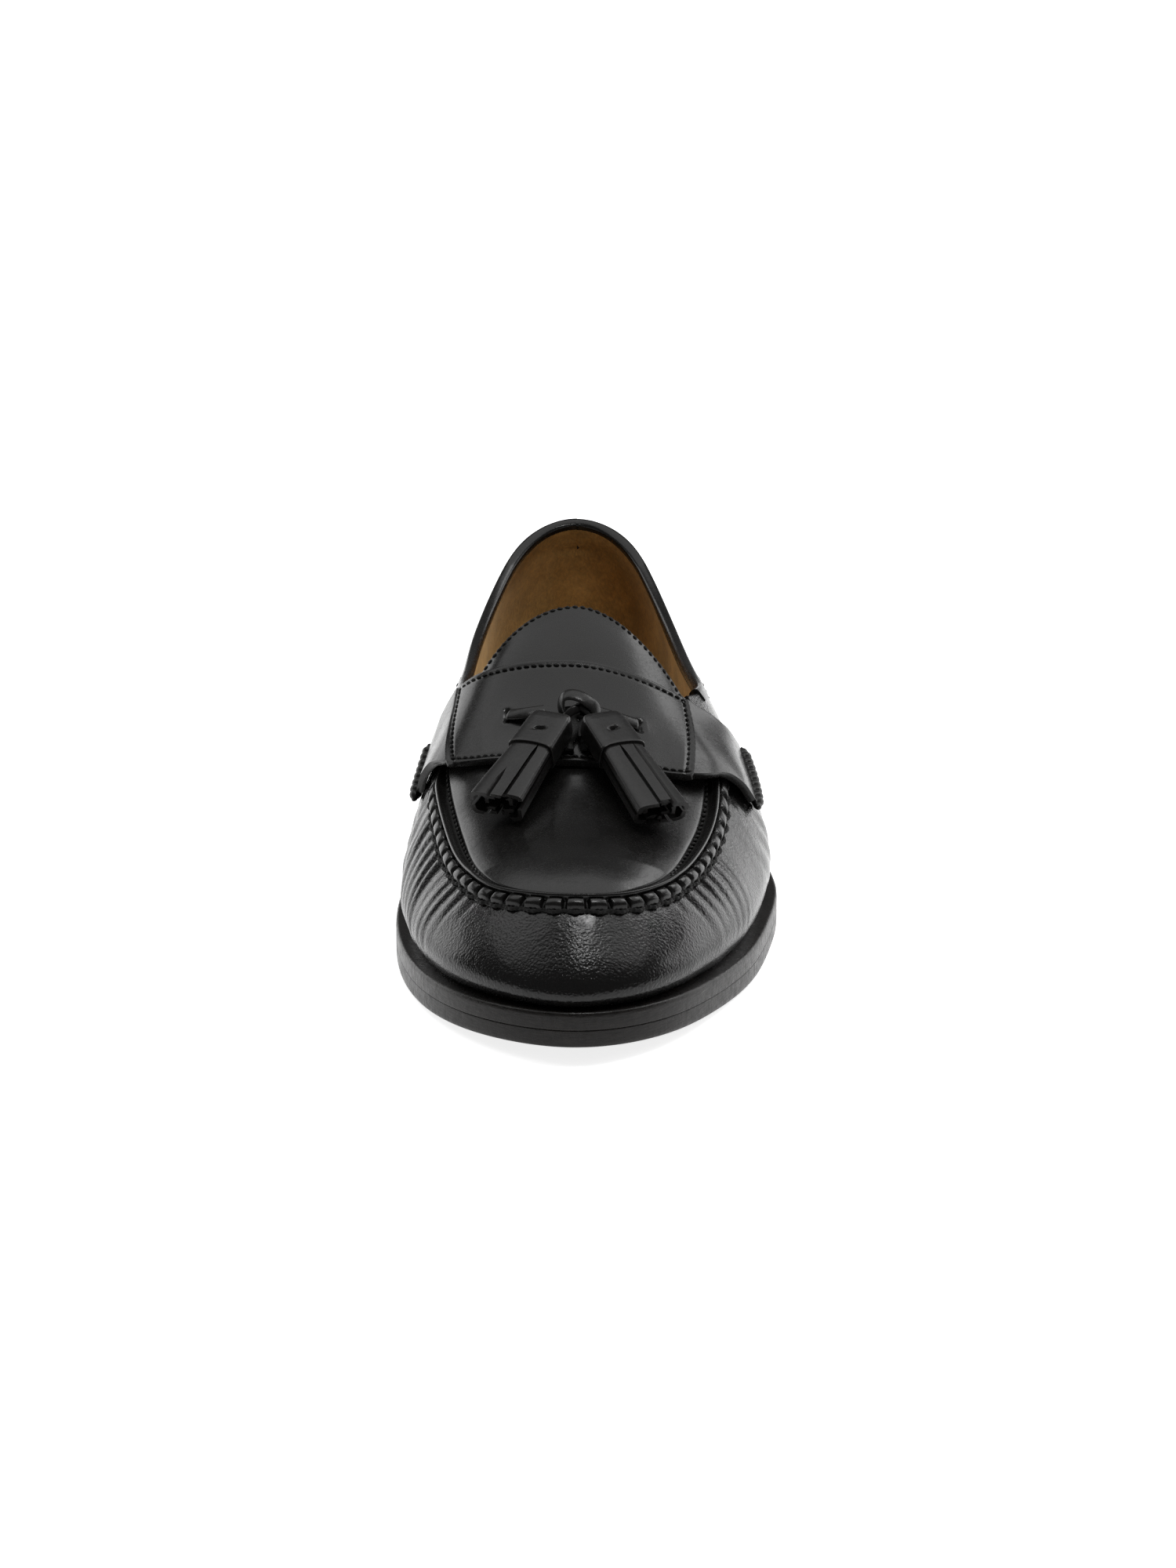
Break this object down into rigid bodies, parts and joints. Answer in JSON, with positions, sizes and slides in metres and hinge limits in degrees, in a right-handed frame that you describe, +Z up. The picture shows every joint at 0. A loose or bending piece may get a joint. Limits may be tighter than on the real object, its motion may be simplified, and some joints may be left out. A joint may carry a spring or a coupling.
{
  "type": "tassel loafer",
  "caption": "Left dress loafer with a raised seam round the apron, a saddle strap with tassels on a lace, and a low stacked heel.",
  "frame": {"origin": "on the floor under the middle of the shoe's length and width", "axes": "-Y towards the toe, +Y towards the heel, +X towards the outer (lateral) side, +Z up"},
  "size_m": [0.1057, 0.295, 0.0805],
  "materials": {
    "upper_leather": "polished",
    "sole_leather": "satin",
    "heel_rubber": "matte",
    "lining_leather": "matte"
  },
  "bodies": {
    "root": {"outsole": "sole_leather", "midsole": "sole_leather", "heel_stack": "sole_leather", "heel_top_lift": "heel_rubber", "insole": "lining_leather", "upper": "upper_leather", "collar_binding": "upper_leather", "apron": "upper_leather", "moc_seam": "upper_leather", "strap": "upper_leather", "side_rope_medial": "upper_leather", "side_rope_lateral": "upper_leather", "tassel_lace": "upper_leather", "tassel_medial": "upper_leather", "tassel_lateral": "upper_leather"}
  },
  "joints": []
}
